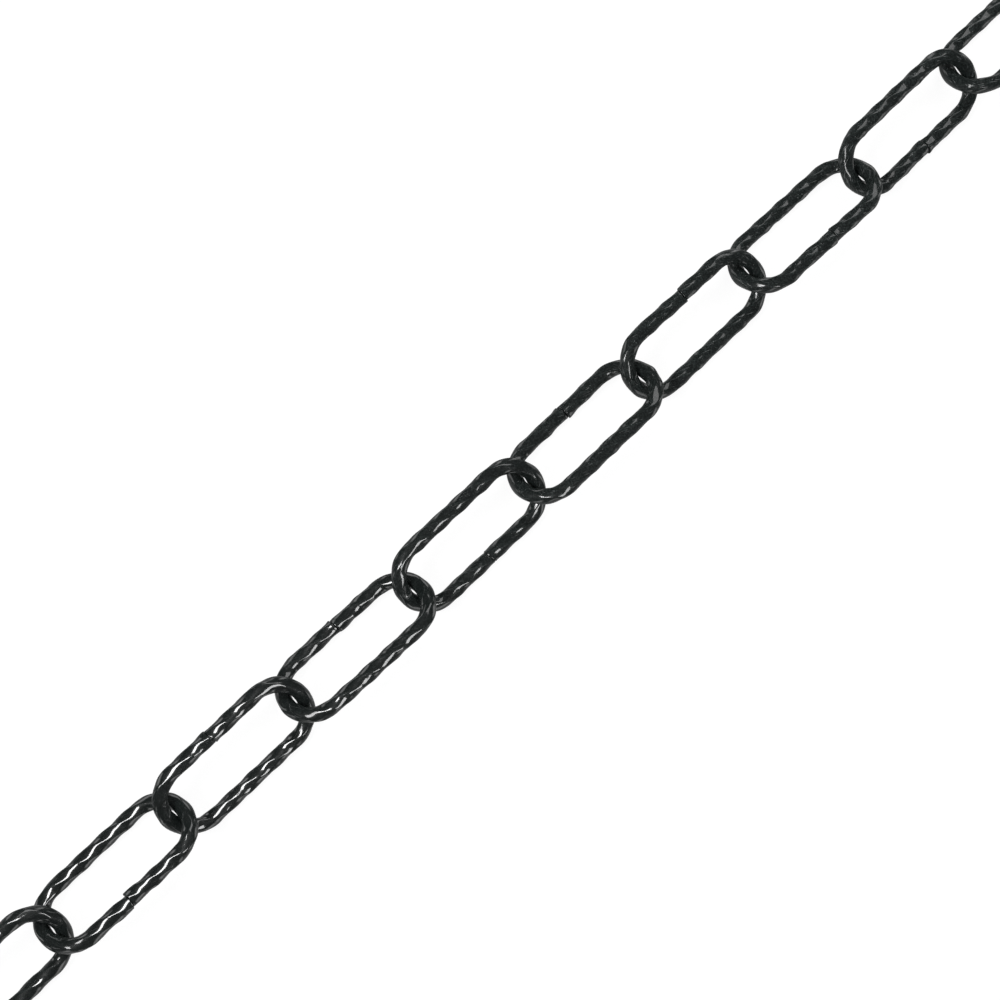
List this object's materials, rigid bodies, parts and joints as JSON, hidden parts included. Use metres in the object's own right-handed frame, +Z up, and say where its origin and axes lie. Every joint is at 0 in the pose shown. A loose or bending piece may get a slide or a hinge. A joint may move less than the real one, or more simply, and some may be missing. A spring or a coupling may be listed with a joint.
{
  "type": "twisted link chain",
  "caption": "Straight length of decorative chain: long oval links bent from twisted square wire, each hanging in the last, black lacquered.",
  "frame": {"origin": "on the floor, under the middle of the chain", "axes": "+X along the chain, +Z up from the floor it lies on"},
  "size_m": [1, 0.0153, 0.0105],
  "materials": {
    "black_lacquer": "glossy near-black lacquer on twisted steel wire, dulled by fine dust in places"
  },
  "bodies": {
    "link_01": {"link_01": "black_lacquer"},
    "link_02": {"link_02": "black_lacquer"},
    "link_03": {"link_03": "black_lacquer"},
    "link_04": {"link_04": "black_lacquer"},
    "link_05": {"link_05": "black_lacquer"},
    "link_06": {"link_06": "black_lacquer"},
    "link_07": {"link_07": "black_lacquer"},
    "link_08": {"link_08": "black_lacquer"},
    "link_09": {"link_09": "black_lacquer"},
    "link_10": {"link_10": "black_lacquer"},
    "link_11": {"link_11": "black_lacquer"},
    "link_12": {"link_12": "black_lacquer"},
    "link_13": {"link_13": "black_lacquer"},
    "link_14": {"link_14": "black_lacquer"},
    "link_15": {"link_15": "black_lacquer"},
    "link_16": {"link_16": "black_lacquer"},
    "link_17": {"link_17": "black_lacquer"},
    "link_18": {"link_18": "black_lacquer"},
    "link_19": {"link_19": "black_lacquer"},
    "link_20": {"link_20": "black_lacquer"},
    "link_21": {"link_21": "black_lacquer"},
    "link_22": {"link_22": "black_lacquer"},
    "link_23": {"link_23": "black_lacquer"},
    "link_24": {"link_24": "black_lacquer"},
    "link_25": {"link_25": "black_lacquer"},
    "link_26": {"link_26": "black_lacquer"},
    "link_27": {"link_27": "black_lacquer"},
    "link_28": {"link_28": "black_lacquer"},
    "link_29": {"link_29": "black_lacquer"},
    "link_30": {"link_30": "black_lacquer"},
    "link_31": {"link_31": "black_lacquer"},
    "link_32": {"link_32": "black_lacquer"}
  },
  "joints": [
    {"name": "swing_02", "type": "hinge", "parent": "link_01", "child": "link_02", "pos_m": [-0.46403, -0.00015, 0.00515], "axis": [-0.0074, 0.848, -0.5299], "range_deg": [-90, 90]},
    {"name": "swing_03", "type": "hinge", "parent": "link_02", "child": "link_03", "pos_m": [-0.43297, 0.0003, 0.00511], "axis": [0, -0.8526, -0.5225], "range_deg": [-90, 90]},
    {"name": "swing_04", "type": "hinge", "parent": "link_03", "child": "link_04", "pos_m": [-0.40193, -0.00054, 0.00526], "axis": [-0.0117, -0.8386, 0.5446], "range_deg": [-90, 90]},
    {"name": "swing_05", "type": "hinge", "parent": "link_04", "child": "link_05", "pos_m": [-0.37088, 0.00039, 0.00515], "axis": [-0.0044, 0.848, 0.5299], "range_deg": [-90, 90]},
    {"name": "swing_06", "type": "hinge", "parent": "link_05", "child": "link_06", "pos_m": [-0.33982, -0.0003, 0.00505], "axis": [0, 0.8572, -0.515], "range_deg": [-90, 90]},
    {"name": "swing_07", "type": "hinge", "parent": "link_06", "child": "link_07", "pos_m": [-0.30878, 0.0003, 0.00515], "axis": [0, -0.848, -0.5299], "range_deg": [-90, 90]},
    {"name": "swing_08", "type": "hinge", "parent": "link_07", "child": "link_08", "pos_m": [-0.27773, -0.00054, 0.00526], "axis": [-0.0117, -0.8386, 0.5446], "range_deg": [-90, 90]},
    {"name": "swing_09", "type": "hinge", "parent": "link_08", "child": "link_09", "pos_m": [-0.24668, 0.0003, 0.00511], "axis": [0, 0.8526, 0.5225], "range_deg": [-90, 90]},
    {"name": "swing_10", "type": "hinge", "parent": "link_09", "child": "link_10", "pos_m": [-0.21563, -0.00015, 0.00515], "axis": [-0.0074, 0.848, -0.5299], "range_deg": [-90, 90]},
    {"name": "swing_11", "type": "hinge", "parent": "link_10", "child": "link_11", "pos_m": [-0.18457, 0.0003, 0.00511], "axis": [0, -0.8526, -0.5225], "range_deg": [-90, 90]},
    {"name": "swing_12", "type": "hinge", "parent": "link_11", "child": "link_12", "pos_m": [-0.15353, -0.00054, 0.00526], "axis": [-0.0117, -0.8386, 0.5446], "range_deg": [-90, 90]},
    {"name": "swing_13", "type": "hinge", "parent": "link_12", "child": "link_13", "pos_m": [-0.12248, 0.00039, 0.00515], "axis": [-0.0044, 0.848, 0.5299], "range_deg": [-90, 90]},
    {"name": "swing_14", "type": "hinge", "parent": "link_13", "child": "link_14", "pos_m": [-0.09143, -0.0003, 0.00505], "axis": [0, 0.8572, -0.515], "range_deg": [-90, 90]},
    {"name": "swing_15", "type": "hinge", "parent": "link_14", "child": "link_15", "pos_m": [-0.06037, 0.0003, 0.00515], "axis": [0, -0.848, -0.5299], "range_deg": [-90, 90]},
    {"name": "swing_16", "type": "hinge", "parent": "link_15", "child": "link_16", "pos_m": [-0.02933, -0.00054, 0.00526], "axis": [-0.0117, -0.8386, 0.5446], "range_deg": [-90, 90]},
    {"name": "swing_17", "type": "hinge", "parent": "link_16", "child": "link_17", "pos_m": [0.00172, 0.0003, 0.00511], "axis": [0, 0.8526, 0.5225], "range_deg": [-90, 90]},
    {"name": "swing_18", "type": "hinge", "parent": "link_17", "child": "link_18", "pos_m": [0.03277, -0.00015, 0.00515], "axis": [-0.0074, 0.848, -0.5299], "range_deg": [-90, 90]},
    {"name": "swing_19", "type": "hinge", "parent": "link_18", "child": "link_19", "pos_m": [0.06383, 0.0003, 0.00511], "axis": [0, -0.8526, -0.5225], "range_deg": [-90, 90]},
    {"name": "swing_20", "type": "hinge", "parent": "link_19", "child": "link_20", "pos_m": [0.09487, -0.00054, 0.00526], "axis": [-0.0117, -0.8386, 0.5446], "range_deg": [-90, 90]},
    {"name": "swing_21", "type": "hinge", "parent": "link_20", "child": "link_21", "pos_m": [0.12593, 0.00039, 0.00515], "axis": [-0.0044, 0.848, 0.5299], "range_deg": [-90, 90]},
    {"name": "swing_22", "type": "hinge", "parent": "link_21", "child": "link_22", "pos_m": [0.15698, -0.0003, 0.00505], "axis": [0, 0.8572, -0.515], "range_deg": [-90, 90]},
    {"name": "swing_23", "type": "hinge", "parent": "link_22", "child": "link_23", "pos_m": [0.18802, 0.0003, 0.00515], "axis": [0, -0.848, -0.5299], "range_deg": [-90, 90]},
    {"name": "swing_24", "type": "hinge", "parent": "link_23", "child": "link_24", "pos_m": [0.21907, -0.00054, 0.00526], "axis": [-0.0117, -0.8386, 0.5446], "range_deg": [-90, 90]},
    {"name": "swing_25", "type": "hinge", "parent": "link_24", "child": "link_25", "pos_m": [0.25012, 0.0003, 0.00511], "axis": [0, 0.8526, 0.5225], "range_deg": [-90, 90]},
    {"name": "swing_26", "type": "hinge", "parent": "link_25", "child": "link_26", "pos_m": [0.28117, -0.00015, 0.00515], "axis": [-0.0074, 0.848, -0.5299], "range_deg": [-90, 90]},
    {"name": "swing_27", "type": "hinge", "parent": "link_26", "child": "link_27", "pos_m": [0.31222, 0.0003, 0.00511], "axis": [0, -0.8526, -0.5225], "range_deg": [-90, 90]},
    {"name": "swing_28", "type": "hinge", "parent": "link_27", "child": "link_28", "pos_m": [0.34327, -0.00054, 0.00526], "axis": [-0.0117, -0.8386, 0.5446], "range_deg": [-90, 90]},
    {"name": "swing_29", "type": "hinge", "parent": "link_28", "child": "link_29", "pos_m": [0.37433, 0.00039, 0.00515], "axis": [-0.0044, 0.848, 0.5299], "range_deg": [-90, 90]},
    {"name": "swing_30", "type": "hinge", "parent": "link_29", "child": "link_30", "pos_m": [0.40537, -0.0003, 0.00505], "axis": [0, 0.8572, -0.515], "range_deg": [-90, 90]},
    {"name": "swing_31", "type": "hinge", "parent": "link_30", "child": "link_31", "pos_m": [0.43643, 0.0003, 0.00515], "axis": [0, -0.848, -0.5299], "range_deg": [-90, 90]},
    {"name": "swing_32", "type": "hinge", "parent": "link_31", "child": "link_32", "pos_m": [0.46747, -0.00054, 0.00526], "axis": [-0.0117, -0.8386, 0.5446], "range_deg": [-90, 90]}
  ]
}
